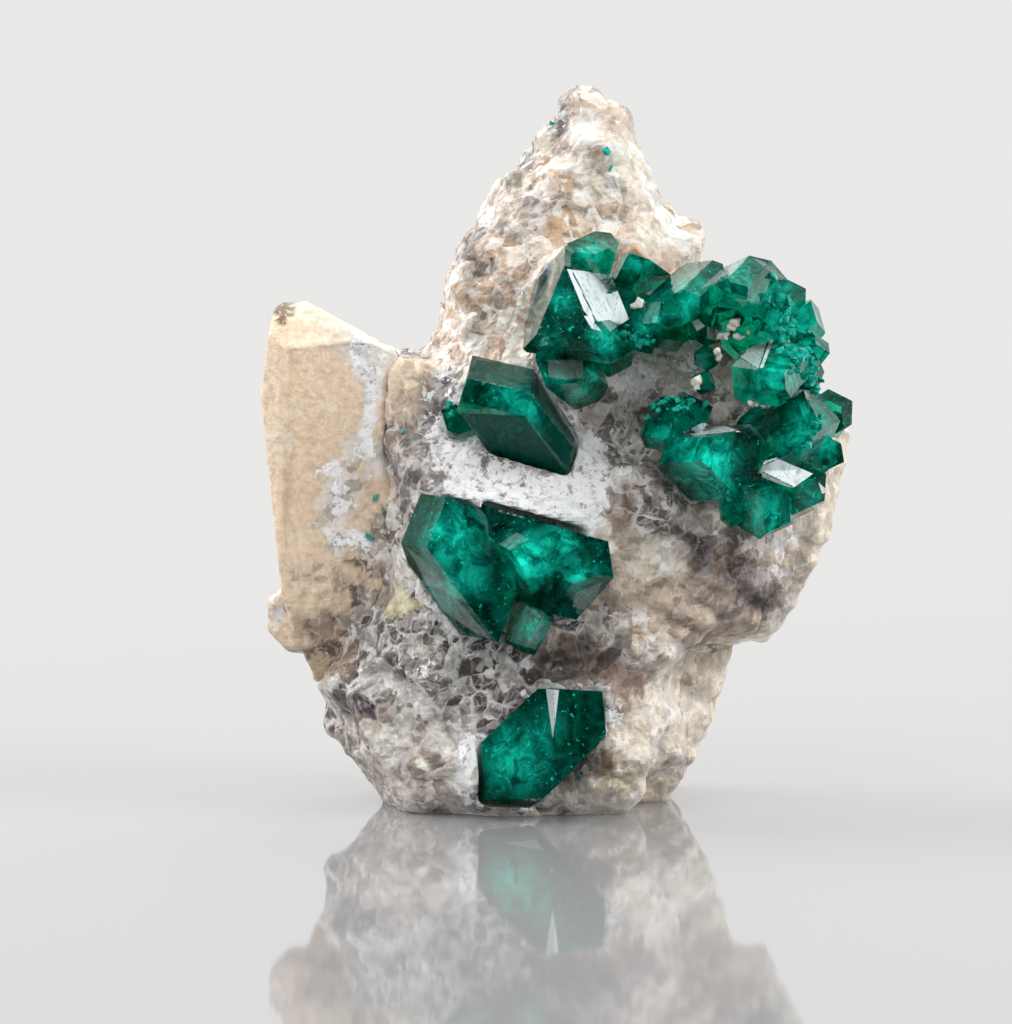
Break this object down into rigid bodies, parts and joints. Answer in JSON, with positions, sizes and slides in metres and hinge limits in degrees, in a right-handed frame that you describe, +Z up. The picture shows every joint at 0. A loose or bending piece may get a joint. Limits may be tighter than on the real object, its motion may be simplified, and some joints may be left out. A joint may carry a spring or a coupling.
{
  "type": "green crystal specimen on matrix",
  "caption": "Free-standing mineral specimen: short clear green six-sided crystals grown on a lumpy pale stone matrix, resting on its flat base.",
  "frame": {"origin": "middle of the bounding box's bottom, on the surface that the flat base rests on", "axes": "+Z up, from the base to the pale peak; -Y towards the crystal-bearing front; +X to the right as seen from the front"},
  "size_m": [0.0568, 0.0392, 0.0697],
  "materials": {
    "crystal": "glassy, clear deep emerald to blue-green",
    "matrix": "rough, granular grey-brown quartz with white crusted edges",
    "blade": "smooth frosted tan calcite with a pale rim",
    "slab": "pale translucent stepped calcite"
  },
  "bodies": {
    "root": {"matrix": "matrix", "calcite_blade": "blade", "calcite_slab": "slab", "crystal_upper": "crystal", "crystal_base": "crystal", "cluster_centre": "crystal", "cluster_crown": "crystal", "cluster_lower_right": "crystal", "crystal_bead_1": "crystal", "crystal_bead_2": "crystal"}
  },
  "joints": []
}
